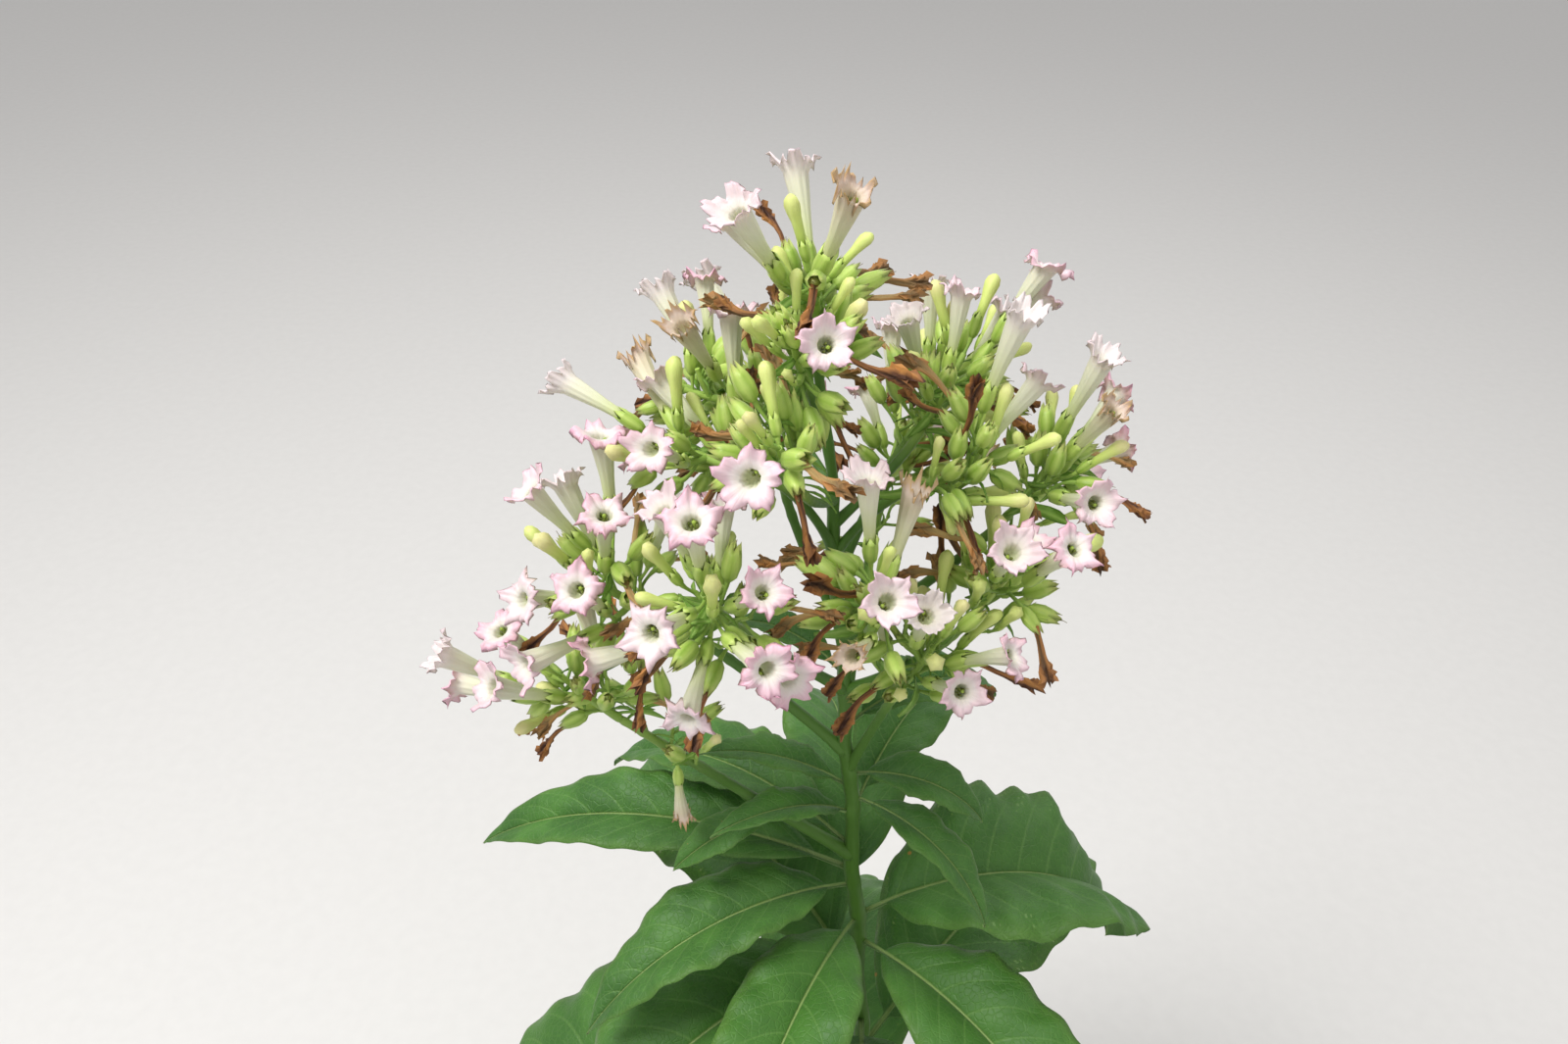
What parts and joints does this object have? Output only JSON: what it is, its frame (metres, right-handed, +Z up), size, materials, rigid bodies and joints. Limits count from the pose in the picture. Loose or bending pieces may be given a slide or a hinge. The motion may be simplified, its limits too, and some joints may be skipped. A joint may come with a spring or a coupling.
{
  "type": "tobacco plant",
  "caption": "Flowering tobacco plant: one leaning stem, slender boughs with heads of long pink and white tubular flowers, and broad leaves",
  "frame": {"origin": "middle of the main stem's flat cut at ground level", "axes": "+Z up along the stem, +X to the right and +Y away from the viewer of the picture"},
  "size_m": [0.5843, 0.5845, 1.3498],
  "materials": {
    "stem": "matte green stalk, finely hairy",
    "leaf": "matte blue-green leaf blade",
    "flower_head": "matte petals, calyces, buds and capsules"
  },
  "bodies": {
    "root": {"main_stem": "stem", "bough_left_low": "stem", "bough_right_low": "stem", "bough_left": "stem", "bough_back_low": "stem", "bough_right": "stem", "bough_front_left": "stem", "bough_right_far": "stem", "bough_back_left": "stem", "bough_front": "stem", "bough_back_right": "stem", "bough_right_mid": "stem", "bough_left_upper": "stem", "bough_right_upper": "stem", "bough_front_upper": "stem", "bough_left_back": "stem", "bough_front_top": "stem", "leaf_right": "leaf", "leaf_low_left": "leaf", "leaf_front_left": "leaf", "leaf_front_right": "leaf", "leaf_back": "leaf", "leaf_left_down": "leaf", "leaf_left_long": "leaf", "leaf_back_left": "leaf", "leaf_arching_left": "leaf", "leaf_arching_right": "leaf", "leaf_back_right": "leaf", "leaf_right_small": "leaf", "leaf_upper_right": "leaf", "leaf_upper_left": "leaf", "leaf_upper_back": "leaf", "leaf_low_1": "leaf", "leaf_low_2": "leaf", "leaf_low_3": "leaf", "leaf_low_4": "leaf", "leaf_low_5": "leaf", "leaf_low_6": "leaf", "leaf_low_7": "leaf", "leaf_low_8": "leaf", "flower_head_left_low": "flower_head", "flower_head_right_low": "flower_head", "flower_head_left": "flower_head", "flower_head_back_low": "flower_head", "flower_head_right": "flower_head", "flower_head_front_left": "flower_head", "flower_head_right_far": "flower_head", "flower_head_back_left": "flower_head", "flower_head_front": "flower_head", "flower_head_back_right": "flower_head", "flower_head_right_mid": "flower_head", "flower_head_left_upper": "flower_head", "flower_head_right_upper": "flower_head", "flower_head_front_upper": "flower_head", "flower_head_left_back": "flower_head", "flower_head_front_top": "flower_head", "flower_head_top": "flower_head"}
  },
  "joints": []
}
